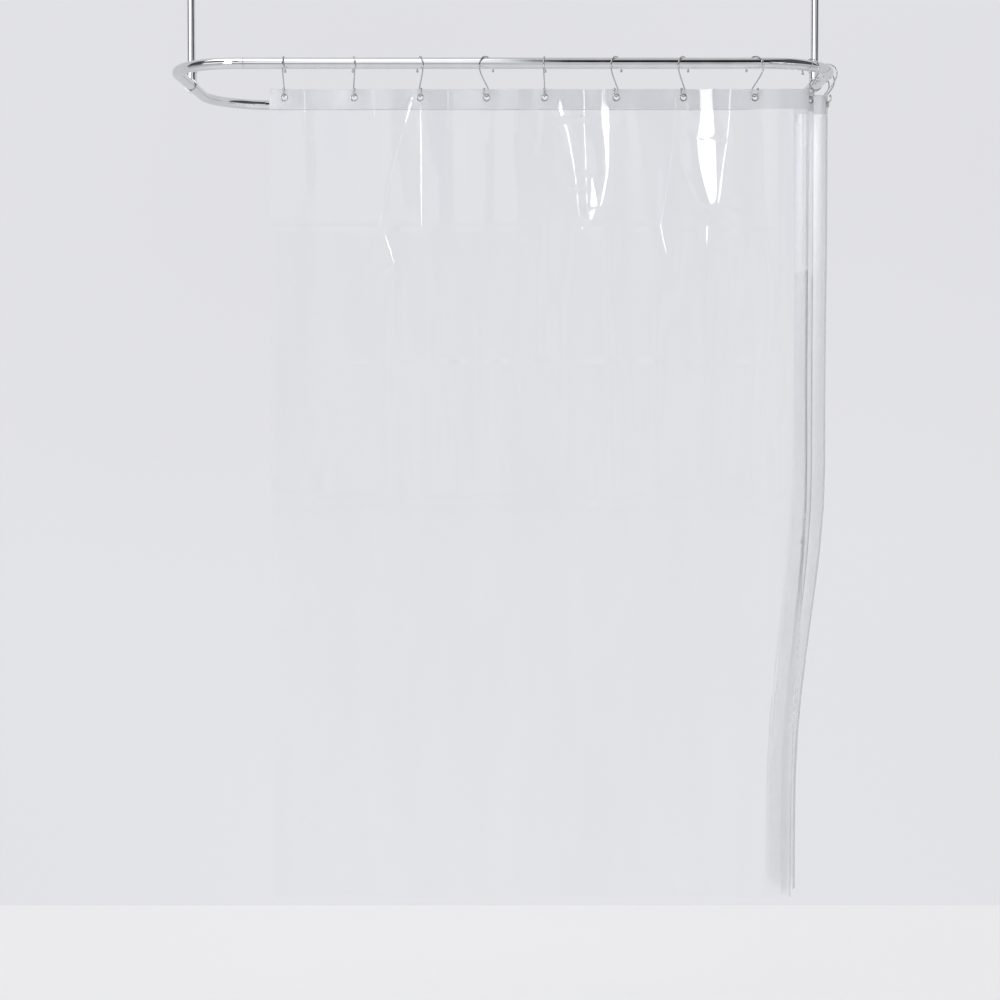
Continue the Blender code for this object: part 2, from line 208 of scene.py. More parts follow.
def film_material(name, tint_low, tint_high, rough, haze, haze_colour, bump_distance):
    """Clear soft vinyl: glass-like, with a faint milky bloom, streaky roughness
    from calendering and a fine waviness."""
    mat, nt, p = nodes_of(name)
    vec = mapped(nt)
    streak = noise(nt, mapped(nt, (9.0, 9.0, 0.9)), 2.0, 3.0)
    wave = noise(nt, vec, 26.0, 2.0)
    fine = noise(nt, vec, 210.0, 2.0)
    # the part that stands bunched up round the bend is scuffed and finely creased, so it is made rougher; its colour
    # is also multiplied a little darker there, painted shade that makes the stacked layers read grey
    place = nt.nodes.new("ShaderNodeSeparateXYZ")
    nt.links.new(vec, place.inputs["Vector"])
    across = nt.nodes.new("ShaderNodeMath")
    across.operation = "MULTIPLY_ADD"
    nt.links.new(place.outputs["Z"], across.inputs[0])
    across.inputs[1].default_value = -0.052
    nt.links.new(place.outputs["X"], across.inputs[2])
    dull = nt.nodes.new("ShaderNodeMath")
    dull.operation = "ADD"
    nt.links.new(spread(nt, streak, rough[0], rough[1]), dull.inputs[0])
    nt.links.new(spread(nt, across.outputs[0], 0.0, 0.20, 0.697, 0.715), dull.inputs[1])
    nt.links.new(dull.outputs[0], p.inputs["Roughness"])
    # painted shade: the streak colour is multiplied darker over the bunched part round the bend
    streak_tone_and_painted_shade = nt.nodes.new("ShaderNodeMixRGB")
    streak_tone_and_painted_shade.blend_type = "MULTIPLY"
    nt.links.new(spread(nt, across.outputs[0], 0.0, 1.0, 0.697, 0.715), streak_tone_and_painted_shade.inputs["Fac"])
    nt.links.new(ramp(nt, streak, [(0.3, tint_low), (0.7, tint_high)]), streak_tone_and_painted_shade.inputs["Color1"])
    streak_tone_and_painted_shade.inputs["Color2"].default_value = (0.978, 0.976, 0.974, 1.0)
    nt.links.new(streak_tone_and_painted_shade.outputs[0], p.inputs["Base Color"])
    p.inputs["IOR"].default_value = 1.50
    p.inputs["Transmission Weight"].default_value = 1.0
    height = nt.nodes.new("ShaderNodeMath")
    height.operation = "MULTIPLY_ADD"
    nt.links.new(fine, height.inputs[0])
    height.inputs[1].default_value = 0.10
    nt.links.new(wave, height.inputs[2])
    bump(nt, p, height.outputs[0], 0.5, bump_distance)
    veil = nt.nodes.new("ShaderNodeBsdfPrincipled")
    veil.inputs["Base Color"].default_value = (*haze_colour, 1.0)
    veil.inputs["Roughness"].default_value = 0.6
    mix = nt.nodes.new("ShaderNodeMixShader")
    nt.links.new(spread(nt, streak, haze[0], haze[1]), mix.inputs["Fac"])
    nt.links.new(p.outputs[0], mix.inputs[1])
    nt.links.new(veil.outputs[0], mix.inputs[2])
    out = nt.nodes["Material Output"]
    nt.links.new(mix.outputs[0], out.inputs["Surface"])
    return mat


FILM = film_material(
    "clear_vinyl", (0.975, 0.98, 0.99), (0.995, 0.997, 1.0), (0.018, 0.045), (0.004, 0.020), (0.86, 0.87, 0.90), 0.0006
)


def header_material():
    """Header: the film's second layer. Its inner face is slightly matt, so what
    lies far behind it blurs away, and its outer face is as glossy as the film."""
    mat, nt, p = nodes_of("header_vinyl")
    vec = mapped(nt)
    streak = noise(nt, mapped(nt, (1.2, 1.2, 9.0)), 5.0, 3.0)
    fine = noise(nt, vec, 240.0, 2.0)
    nt.links.new(ramp(nt, streak, [(0.3, (0.86, 0.865, 0.885)), (0.7, (0.91, 0.915, 0.93))]), p.inputs["Base Color"])
    nt.links.new(spread(nt, streak, 0.40, 0.52), p.inputs["Roughness"])
    p.inputs["IOR"].default_value = 1.45
    p.inputs["Transmission Weight"].default_value = 1.0
    p.inputs["Coat Weight"].default_value = 1.0
    p.inputs["Coat Roughness"].default_value = 0.035
    p.inputs["Coat IOR"].default_value = 1.5
    bump(nt, p, fine, 0.3, 0.00004)
    veil = nt.nodes.new("ShaderNodeBsdfPrincipled")
    veil.inputs["Base Color"].default_value = (0.58, 0.59, 0.61, 1.0)
    veil.inputs["Roughness"].default_value = 0.5
    mix = nt.nodes.new("ShaderNodeMixShader")
    nt.links.new(spread(nt, streak, 0.10, 0.20), mix.inputs["Fac"])
    nt.links.new(p.outputs[0], mix.inputs[1])
    nt.links.new(veil.outputs[0], mix.inputs[2])
    nt.links.new(mix.outputs[0], nt.nodes["Material Output"].inputs["Surface"])
    return mat


BAND = header_material()


# ------------------------------------------------------------ tubes and wires
def frames_along(points):
    """Tangent and two normals at each point, turned as little as possible."""
    pts = np.asarray(points, float)
    tangents = np.gradient(pts, axis=0)
    tangents /= np.linalg.norm(tangents, axis=1)[:, None]
    up = np.array([0.0, 0.0, 1.0])
    if abs(tangents[0] @ up) > 0.9:
        up = np.array([0.0, 1.0, 0.0])
    n = up - tangents[0] * (up @ tangents[0])
    n /= np.linalg.norm(n)
    normals = [n]
    for a, b in zip(tangents, tangents[1:]):
        axis = np.cross(a, b)
        s = np.linalg.norm(axis)
        n = normals[-1]
        if s > 1e-9:
            axis /= s
            angle = math.atan2(s, float(a @ b))
            n = (
                n * math.cos(angle)
                + np.cross(axis, n) * math.sin(angle)
                + axis * (axis @ n) * (1 - math.cos(angle))
            )
        n = n - b * (n @ b)
        normals.append(n / np.linalg.norm(n))
    normals = np.array(normals)
    return pts, tangents, normals, np.cross(tangents, normals)


def wire_mesh(name, points, radii, sides):
    """A closed round wire with a point at each end, its thickness free along it."""
    pts, _, n, b = frames_along(points)
    verts = [pts[0]]
    for i in range(1, len(pts) - 1):
        for s in range(sides):
            a = 2 * math.pi * s / sides
            verts.append(pts[i] + radii[i] * (n[i] * math.cos(a) + b[i] * math.sin(a)))
    verts.append(pts[-1])
    rings = len(pts) - 2
    faces = []
    for s in range(sides):
        t = (s + 1) % sides
        faces.append((0, 1 + t, 1 + s))
        for r in range(rings - 1):
            o, q = 1 + r * sides, 1 + (r + 1) * sides
            faces.append((o + s, o + t, q + t, q + s))
        last = 1 + (rings - 1) * sides
        faces.append((last + s, last + t, len(verts) - 1))
    return mesh_from(name, verts, faces)


def pipe_mesh(name, points, outer, inner, sides, chamfer=0.0004):
    """A hollow tube with softened ends."""
    pts, tan, n, b = frames_along(points)
    profile = []
    profile.append((0, outer - chamfer))
    profile.append((0, outer))
    stations = [(pts[0], tan[0], n[0], b[0], outer - chamfer)]
    stations.append((pts[0] + tan[0] * chamfer, tan[0], n[0], b[0], outer))
    for i in range(1, len(pts) - 1):
        stations.append((pts[i], tan[i], n[i], b[i], outer))
    stations.append((pts[-1] - tan[-1] * chamfer, tan[-1], n[-1], b[-1], outer))
    stations.append((pts[-1], tan[-1], n[-1], b[-1], outer - chamfer))
    stations.append((pts[-1], tan[-1], n[-1], b[-1], inner))
    for i in range(len(pts) - 2, 0, -1):
        stations.append((pts[i], tan[i], n[i], b[i], inner))
    stations.append((pts[0], tan[0], n[0], b[0], inner))
    verts, faces = [], []
    for p, _, nn, bb, r in stations:
        for s in range(sides):
            a = 2 * math.pi * s / sides
            verts.append(p + r * (nn * math.cos(a) + bb * math.sin(a)))
    count = len(stations)
    for i in range(count):
        o, q = i * sides, ((i + 1) % count) * sides
        for s in range(sides):
            t = (s + 1) % sides
            faces.append((o + s, o + t, q + t, q + s))
    mesh = mesh_from(name, verts, faces)
    work = bmesh.new()
    work.from_mesh(mesh)
    bmesh.ops.recalc_face_normals(work, faces=work.faces)
    work.to_mesh(mesh)
    work.free()
    return mesh


def end_path(side, steps=40):
    points = [(side * abs(SEAM_X), -HALF_D, RAIL_Z), (side * (STRAIGHT_X - 0.002), -HALF_D, RAIL_Z)]
    for i in range(steps + 1):
        a = i / steps * math.pi / 2
        points.append(
            (
                side * (STRAIGHT_X + BEND_R * math.sin(a)),
                -STRAIGHT_Y - BEND_R * math.cos(a),
                RAIL_Z,
            )
        )
    back = [(x, -y, z) for x, y, z in reversed(points)]
    return points + [(side * HALF_W, 0.0, RAIL_Z)] + back


def sharp_shade(obj, degrees=35):
    obj.data.shade_smooth()
    obj.data.set_sharp_from_angle(angle=math.radians(degrees))
    return obj


for side, node in ((-1, "rail_left"), (1, "rail_right")):
    piece = link(node + "_tube", pipe_mesh(node + "_tube", end_path(side), RAIL_R, RAIL_R - 0.0012, 48), CHROME)
    sharp_shade(piece)
    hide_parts(node)
    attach(piece, "rail")
for sign, node in ((-1, "rail_front"), (1, "rail_back")):
    lo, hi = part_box(node)
    xs = np.linspace(lo[0], hi[0], 25)
    piece = link(
        node + "_tube",
        pipe_mesh(node + "_tube", [(x, sign * HALF_D, RAIL_Z) for x in xs], RAIL_R, RAIL_R - 0.0012, 48),
        CHROME,
    )
    sharp_shade(piece)
    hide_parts(node)
    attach(piece, "rail")


# ------------------------------------------------------------ supports and fittings
def lathe(name, profile, sides):
    """A turned shape about local Z from (radius, z) pairs, a closed loop of them."""
    verts, faces = [], []
    for r, z in profile:
        for s in range(sides):
            a = 2 * math.pi * s / sides
            verts.append((r * math.cos(a), r * math.sin(a), z))
    count = len(profile)
    for i in range(count):
        o, q = i * sides, ((i + 1) % count) * sides
        for s in range(sides):
            t = (s + 1) % sides
            faces.append((o + s, o + t, q + t, q + s))
    mesh = mesh_from(name, verts, faces)
    work = bmesh.new()
    work.from_mesh(mesh)
    bmesh.ops.remove_doubles(work, verts=work.verts, dist=1e-7)
    bmesh.ops.recalc_face_normals(work, faces=work.faces)
    work.to_mesh(mesh)
    work.free()
    return mesh


def solid_cylinder(radius, length, centre, axis, sides):
    mesh = bpy.data.meshes.new("cutter")
    work = bmesh.new()
    bmesh.ops.create_cone(
        work, cap_ends=True, segments=sides, radius1=radius, radius2=radius, depth=length
    )
    turn = {
        "Z": Matrix.Identity(4),
        "Y": Matrix.Rotation(math.pi / 2, 4, "X"),
        "X": Matrix.Rotation(math.pi / 2, 4, "Y"),
    }[axis]
    bmesh.ops.transform(work, matrix=Matrix.Translation(centre) @ turn, verts=work.verts)
    work.to_mesh(mesh)
    work.free()
    obj = bpy.data.objects.new("cutter", mesh)
    bpy.context.scene.collection.objects.link(obj)
    return obj


def apply_booleans(obj, steps):
    for cutter, operation in steps:
        mod = obj.modifiers.new("b", "BOOLEAN")
        mod.object, mod.operation, mod.solver = cutter, operation, "EXACT"
    bpy.context.view_layer.update()
    graph = bpy.context.evaluated_depsgraph_get()
    mesh = bpy.data.meshes.new_from_object(obj.evaluated_get(graph))
    obj.modifiers.clear()
    obj.data = mesh
    for cutter, _ in steps:
        bpy.data.objects.remove(cutter, do_unlink=True)
    return obj


for side, word in ((-1, "left"), (1, "right")):
    x = side * HALF_W
    lo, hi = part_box("support_tube_" + word)
    zs = np.linspace(lo[2], hi[2], 12)
    tube = link(
        "support_%s_tube" % word,
        pipe_mesh("support_%s_tube" % word, [(x, 0.0, z) for z in zs], 0.0095, 0.0083, 48),
        CHROME,
    )
    sharp_shade(tube)
    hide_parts("support_tube_" + word)
    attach(tube, "rail")

    lo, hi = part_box("support_collar_" + word)
    radius = (hi[0] - lo[0]) / 2
    length = hi[1] - lo[1]
    top = hi[2]
    collar = solid_cylinder(radius, length, (x, 0, RAIL_Z), "Y", 64)
    collar.name = "support_%s_collar" % word
    stub_h = top - RAIL_Z - 0.004
    stub = solid_cylinder(0.0125, stub_h, (x, 0, top - stub_h / 2), "Z", 64)
    apply_booleans(
        collar,
        [
            (stub, "UNION"),
            (solid_cylinder(RAIL_R + 0.0003, 0.08, (x, 0, RAIL_Z), "Y", 64), "DIFFERENCE"),
            (solid_cylinder(0.0098, 0.060, (x, 0, RAIL_Z + 0.046), "Z", 64), "DIFFERENCE"),
            (solid_cylinder(0.0024, 0.012, (x - side * 0.0135, 0, RAIL_Z + 0.032), "X", 24), "DIFFERENCE"),
        ],
    )
    rounded = collar.modifiers.new("edges", "BEVEL")
    rounded.width, rounded.segments, rounded.limit_method = 0.0009, 3, "ANGLE"
    rounded.angle_limit = math.radians(50)
    collar.data.materials.clear()
    collar.data.materials.append(CHROME)
    sharp_shade(collar, 40)
    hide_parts("support_collar_" + word)
    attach(collar, "rail")

    lo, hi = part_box("ceiling_flange_" + word)
    R = (hi[0] - lo[0]) / 2
    depth = hi[2] - lo[2]
    neck = 0.0138
    prof = [(0.00001, 0.0), (R - 0.0004, 0.0), (R, -0.0004), (R, -0.0026)]
    for i in range(7):
        a = i / 6 * math.pi / 2
        prof.append((R - 0.0018 + 0.0018 * math.cos(a), -0.0026 - 0.0018 * math.sin(a)))
    for i in range(9):
        t = i / 8
        prof.append((R - 0.003 - (R - 0.003 - neck) * t ** 0.75, -0.0045 - 0.0065 * t ** 3))
    prof += [(neck, -0.013), (neck, -depth + 0.0006), (neck - 0.0006, -depth), (0.0099, -depth), (0.0099, -0.0048), (0.00001, -0.0048)]
    flange = link("ceiling_%s_flange" % word, lathe("ceiling_%s_flange" % word, prof, 72), CHROME)
    for v in flange.data.vertices:
        v.co.x += x
    cuts = []
    for i in range(3):
        a = math.radians(90 + 120 * i)
        at = (x + 0.0235 * math.cos(a), 0.0235 * math.sin(a), 0)
        cuts.append((solid_cylinder(0.0026, 0.03, at, "Z", 32), "DIFFERENCE"))
    cuts.append((solid_cylinder(0.0024, 0.012, (x - side * (neck + 0.001), 0, -0.017), "X", 24), "DIFFERENCE"))
    apply_booleans(flange, cuts)
    flange.data.materials.clear()
    flange.data.materials.append(CHROME)
    sharp_shade(flange, 30)
    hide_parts("ceiling_flange_" + word)
    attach(flange, "rail")

for node, obj in frame["nodes"].items():
    if "set_screw" in node or "rail_joiner" in node:
        obj.data.materials.clear()
        obj.data.materials.append(STEEL)


# ------------------------------------------------------------ hooks
def hook_points():
    """Centreline of the S-hook in its own plane: +Y inside the hoop, Z up from
    the rail's centreline, with the wire's thickness at each point."""
    pts, rad = [], []

    def arc(cz, r, a0, a1, steps):
        for i in range(steps + 1):
            a = math.radians(a0 + (a1 - a0) * i / steps)
            pts.append((0.0, r * math.cos(a), cz + r * math.sin(a)))

    arc(-0.0089, 0.0237, -14, 200, 44)
    upper_end = len(pts)
    # the shank leaves the loop and enters the eye on smooth curves
    arc(-0.0638, 0.0098, 18, -218, 36)
    up, low = pts[:upper_end], pts[upper_end:]
    p0, p3 = np.array(up[-1]), np.array(low[0])
    d0 = np.array(up[-1]) - np.array(up[-2])
    d3 = np.array(low[1]) - np.array(low[0])
    d0 /= np.linalg.norm(d0)
    d3 /= np.linalg.norm(d3)
    reach = np.linalg.norm(p3 - p0)
    p1, p2 = p0 + d0 * reach * 0.30, p3 - d3 * reach * 0.16
    shank = []
    for i in range(1, 18):
        t = i / 18
        shank.append(
            tuple((1 - t) ** 3 * p0 + 3 * (1 - t) ** 2 * t * p1 + 3 * (1 - t) * t * t * p2 + t**3 * p3)
        )
    line = [np.array(p) for p in up + shank + low]
    wire, ball = 0.0015, 0.0030

    def cap(end, inner):
        d = (end - inner) / np.linalg.norm(end - inner)
        out = []
        join = -math.acos(wire / ball)
        for i in range(13):
            a = join + (math.pi / 2 - join) * i / 12
            out.append((end + d * ball * math.sin(a), ball * math.cos(a)))
        return out

    head, tail = cap(line[0], line[1]), cap(line[-1], line[-2])
    # wire points that lie inside a ball are dropped
    start = next(i for i, p in enumerate(line) if np.linalg.norm(p - line[0]) > ball)
    stop = len(line) - next(
        i for i, p in enumerate(reversed(line)) if np.linalg.norm(p - line[-1]) > ball
    )
    body = line[start:stop]
    points = [p for p, _ in reversed(head)] + body + [p for p, _ in tail]
    radii = [r for _, r in reversed(head)] + [wire] * len(body) + [r for _, r in tail]
    return points, radii


hook_pts, hook_rad = hook_points()
for k, (at, a, yaw) in enumerate(HOOKS, 1):
    name = "hook_%02d_wire" % k
    mesh = wire_mesh(name, hook_pts, hook_rad, 16)
    turn = Matrix.Translation((at[0], at[1], RAIL_Z)) @ Matrix.Rotation(a - math.radians(yaw), 4, "Z")
    mesh.transform(turn)
    work = bmesh.new()
    work.from_mesh(mesh)
    bmesh.ops.recalc_face_normals(work, faces=work.faces)
    work.to_mesh(mesh)
    work.free()
    piece = link(name, mesh, HOOK_CHROME)
    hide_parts("hook_%02d" % k)
    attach(piece, "hook_%02d" % k)


# ------------------------------------------------------------ eyelets
FRONT, BACK = 0.0012, -0.0005
eyelet_profile = []
for i in range(15):  # domed outer face, from the rim inwards
    t = i / 14
    a = math.pi * t
    r = 0.0070 + 0.0015 * math.cos(a)
    eyelet_profile.append((r, FRONT + 0.00075 * math.sin(a)))
eyelet_profile += [(0.0054, FRONT + 0.0001), (0.0054, BACK - 0.0006), (0.0060, BACK - 0.0006), (0.0060, FRONT), (0.0080, FRONT)]
washer_profile = []
for i in range(11):
    a = math.pi * i / 10
    washer_profile.append((0.0074 + 0.0011 * math.cos(a), BACK - 0.0006 * math.sin(a)))
for k, (at, a, yaw) in enumerate(HOOKS, 1):
    body = "carriage_%02d" % k if k <= 8 else "rail"
    place = Matrix.Translation((at[0], at[1], EYE_Z)) @ Matrix.Rotation(a, 4, "Z") @ Matrix.Rotation(math.pi / 2, 4, "X")
    for node, label, profile in (
        ("grommet_%02d" % k, "eyelet_%02d" % k, eyelet_profile),
        ("grommet_washer_%02d" % k, "eyelet_back_%02d" % k, washer_profile),
    ):
        mesh = lathe(label, profile, 40)
        mesh.transform(place)
        piece = link(label, mesh, NICKEL)
        sharp_shade(piece, 40)
        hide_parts(node)
        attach(piece, body)


# ------------------------------------------------------------ the film
RNG = np.random.default_rng(72)


def smooth(t):
    t = np.clip(t, 0.0, 1.0)
    return t * t * (3 - 2 * t)


def waves(u, v, count, short, long, seed, stretch=1.0):
    """A sum of plane waves with wavelengths between short and long, as a smooth
    random field over the flat sheet."""
    rng = np.random.default_rng(seed)
    total = np.zeros(np.broadcast(u, v).shape)
    for _ in range(count):
        wave = short * (long / short) ** rng.random()
        angle = rng.normal(0.0, 0.35)
        k = 2 * math.pi / wave
        total += (wave / long) * np.sin(
            k * (u * math.cos(angle) + v * math.sin(angle) / stretch) + rng.random() * 7
        )
    return total / math.sqrt(count)


EYES = EDGE + PITCH * np.arange(12)
EYE_V = TOP_Z - EYE_Z
GAP_COLUMNS = (12, 32, 42, 40, 28, 62, 44, 52, 34, 34, 34, 34, 12)
COLUMNS = sum(GAP_COLUMNS)
FINE_END = 0.40  # the upper part has every column, the rest every second one


def g(k, share):
    """A place in the gap between two eyelets."""
    return EYES[k] + PITCH * share


# Strips of the front run that lie at one steep angle, each given by its gap and,
# from the top down, by (depth below the top edge, left side, right side) in
# shares of that gap. They are the flanks of small pleats.
STRIPS = [
    # straight down from the third eyelet
    (2, [(0.034, -0.006, 0.010), (0.10, 0.000, 0.022), (0.20, 0.002, 0.026), (0.306, 0.010, 0.022)]),
    # its left-hand crease, which kinks at the first packing fold
    (1, [(0.020, 0.860, 0.900), (0.050, 0.810, 0.855), (0.076, 0.765, 0.788)]),
    (1, [(0.080, 0.757, 0.764), (0.145, 0.640, 0.647), (0.254, 0.460, 0.466), (0.308, 0.366, 0.372)]),
    (1, [(0.316, 0.445, 0.462), (0.355, 0.530, 0.558), (0.392, 0.612, 0.622)]),
    (2, [(0.022, 0.060, 0.070), (0.066, 0.168, 0.174)]),
    # fifth gap: left flank, thin line beside it, middle line, facet, right flank
    (4, [(0.026, 0.200, 0.235), (0.042, 0.190, 0.256), (0.064, 0.238, 0.296), (0.100, 0.308, 0.350), (0.163, 0.390, 0.420), (0.210, 0.434, 0.458), (0.268, 0.466, 0.484), (0.318, 0.540, 0.548)]),
    (4, [(0.070, 0.156, 0.163), (0.120, 0.158, 0.165), (0.215, 0.228, 0.234)]),
    (4, [(0.002, 0.545, 0.562), (0.073, 0.545, 0.564), (0.145, 0.564, 0.584), (0.237, 0.580, 0.600), (0.284, 0.612, 0.622)]),
    (4, [(0.190, 0.660, 0.668), (0.225, 0.648, 0.712), (0.256, 0.640, 0.750), (0.280, 0.630, 0.690), (0.297, 0.636, 0.650)]),
    (4, [(0.000, 0.800, 0.836), (0.026, 0.800, 0.846), (0.046, 0.785, 0.905), (0.080, 0.795, 0.915), (0.112, 0.830, 0.905), (0.145, 0.845, 0.908), (0.187, 0.852, 0.896), (0.237, 0.800, 0.838), (0.262, 0.765, 0.800)]),
    (5, [(0.022, 0.890, 0.897), (0.083, 0.876, 0.883), (0.145, 0.832, 0.839), (0.237, 0.742, 0.749), (0.296, 0.672, 0.679)]),
    (5, [(0.300, 0.655, 0.676), (0.335, 0.700, 0.724), (0.372, 0.766, 0.776)]),
    # seventh gap: two strips that run together and end in a point, then a line
    (6, [(0.018, -0.010, 0.012), (0.049, 0.070, 0.112), (0.074, 0.112, 0.160), (0.092, 0.150, 0.200), (0.108, 0.190, 0.215)]),
    (6, [(0.000, 0.235, 0.408), (0.030, 0.240, 0.412), (0.060, 0.245, 0.425), (0.092, 0.215, 0.440), (0.118, 0.205, 0.452), (0.148, 0.222, 0.462), (0.178, 0.250, 0.468), (0.210, 0.300, 0.474), (0.237, 0.350, 0.478), (0.262, 0.396, 0.420)]),
    (6, [(0.000, 0.650, 0.672), (0.060, 0.636, 0.660), (0.110, 0.602, 0.630), (0.170, 0.545, 0.572), (0.225, 0.498, 0.536), (0.262, 0.482, 0.500)]),
    (6, [(0.296, 0.330, 0.350), (0.330, 0.325, 0.350), (0.352, 0.335, 0.345)]),
    # thin upright lines through the header
    (0, [(0.002, 0.288, 0.298), (0.040, 0.289, 0.299), (0.110, 0.292, 0.297)]),
    (1, [(0.002, 0.298, 0.306), (0.040, 0.299, 0.307), (0.080, 0.301, 0.305)]),
    (2, [(0.002, 0.414, 0.424), (0.040, 0.415, 0.425), (0.080, 0.418, 0.422)]),
    (3, [(0.004, 0.525, 0.531), (0.090, 0.528, 0.533)]),
]


def strip_sides(strip, v):
    """Left side, right side and strength of a strip at depth v."""
    k, stops = strip
    at = [stop[0] for stop in stops]
    left = np.interp(v, at, [g(k, stop[1]) for stop in stops])
    right = np.interp(v, at, [g(k, stop[2]) for stop in stops])
    here = smooth((v - at[0]) / 0.006 + 1.0) * smooth((at[-1] - v) / 0.006 + 1.0)
    return left, right, here


def strip_mask(strip, u, v):
    left, right, here = strip_sides(strip, v)
    soft = 0.0007
    return smooth((u - left) / soft / 2 + 0.5) * smooth((right - u) / soft / 2 + 0.5) * here


def columns_at(v, eyelets):
    """Column positions at depth v: close together beside the strips, on the
    packing creases and round the eyelets. Each gap keeps its own number."""
    out = []
    stops = [0.0, *EYES, SHEET_W]
    for k, count in enumerate(GAP_COLUMNS):
        u = np.linspace(stops[k], stops[k + 1], 801)
        near = np.full(len(u), 1 / 0.0065)
        if k <= 7:
            for strip in STRIPS:
                left, right, here = strip_sides(strip, v)
                for side in (left, right):
                    near += 1500.0 * here * np.exp(-(((u - side) / 0.0020) ** 2))
            for n in range(1, 5):
                near += 200.0 * np.exp(-(((u - FOLD * n) / 0.0060) ** 2))
        for e in EYES:
            share = eyelets if k <= 7 else 1.0
            near += share * 560.0 * smooth((0.0125 - np.abs(u - e)) / 0.003)
        for end in (0.0, SHEET_W):
            near += 300.0 * np.exp(-(((u - end) / 0.004) ** 2))
        total = np.concatenate([[0], np.cumsum((near[1:] + near[:-1]) / 2 * np.diff(u))])
        out.append(np.interp(np.linspace(0, total[-1], count + 1)[:-1], total, u))
    return np.concatenate(out + [[SHEET_W]])


FOLD = 0.305  # the sheet was folded in squares of this size


def rows():
    fine = list(EYE_V + np.arange(-0.0104, 0.01041, 0.0016))
    stops = [0.0, 0.0012] + fine + [0.0400, 0.0408, 0.0424, HEADER - 0.0008, HEADER, HEADER + 0.002]
    crease = []
    for n in range(1, 6):
        crease += [FOLD * n - 0.004, FOLD * n - 0.0015, FOLD * n + 0.0015, FOLD * n + 0.004]
    stops += crease + [FINE_END, SHEET_H - 0.0015, SHEET_H]
    stops = sorted(set(round(s, 6) for s in stops))
    out = []
    for a, b in zip(stops, stops[1:]):
        step = 0.0085 if a < FINE_END - 1e-6 else 0.0205
        n = max(1, int(math.ceil((b - a) / step)))
        out += list(a + (b - a) * np.arange(n) / n)
    out.append(SHEET_H)
    return np.array(out)


V = rows()
NU, NV = COLUMNS + 1, len(V)
uu = np.zeros((NV, NU))
for i, v in enumerate(V):
    uu[i] = columns_at(max(v, 0.034), 1 - float(smooth((v - 0.030) / 0.130)))
vv = np.repeat(V[:, None], NU, axis=1)
U = np.linspace(0, SHEET_W, 4001)  # the plan is drawn on this and read off at uu
# Plan of the hung film at one height: fold depth and side for each gap
FOLDS = [1, -1, 1, -1, 1, -1, 1, 1, 1, 1, 1]


def even_lobe(t):
    return np.sin(math.pi * t) ** 2


def late_lobe(t):
    """Leaves slowly along a straight flank and comes back close to the end."""
    at = np.linspace(0, 1, 400)
    out = smooth(at / 0.16) * (1 - smooth((at - 0.76) / 0.10))
    home = smooth((at - 0.78) / 0.09) * (1 - smooth((at - 0.955) / 0.045))
    line = np.cumsum(out / out.sum() - home / home.sum())
    return np.interp(t, at, line)


def gap_plan(k, tuck, length, sign, skew, lobe_of=even_lobe):
    """Points of gap k, from one flat patch to the next, as a function of t."""
    (c0, a0, _), (c1, a1, _) = HOOKS[k], HOOKS[k + 1]
    t0, n0 = np.array([math.cos(a0), math.sin(a0)]), np.array([-math.sin(a0), math.cos(a0)])
    t1, n1 = np.array([math.cos(a1), math.sin(a1)]), np.array([-math.sin(a1), math.cos(a1)])
    start, end = c0 + n0 * tuck + t0 * PATCH, c1 + n1 * tuck - t1 * PATCH
    reach = np.linalg.norm(end - start)

    def at(t, depth):
        t = np.asarray(t, float)[:, None]
        h00, h10 = 2 * t**3 - 3 * t**2 + 1, t**3 - 2 * t**2 + t
        h01, h11 = -2 * t**3 + 3 * t**2, t**3 - t**2
        base = h00 * start + h10 * reach * t0 + h01 * end + h11 * reach * t1
        across = n0 + (n1 - n0) * t
        across /= np.linalg.norm(across, axis=1)[:, None]
        along = np.stack([across[:, 1], -across[:, 0]], 1)
        lobe = lobe_of(t)
        return base + across * (sign * depth * lobe) + along * (skew * depth * lobe)

    fine = np.linspace(0, 1, 240)
    low, high = 0.0, length
    for _ in range(30):
        middle = (low + high) / 2
        p = at(fine, middle)
        if np.linalg.norm(np.diff(p, axis=0), axis=1).sum() < length:
            low = middle
        else:
            high = middle
    p = at(fine, low)
    s = np.concatenate([[0], np.cumsum(np.linalg.norm(np.diff(p, axis=0), axis=1))])
    s /= s[-1]
    return lambda share: np.stack([np.interp(share, s, p[:, 0]), np.interp(share, s, p[:, 1])], 1)


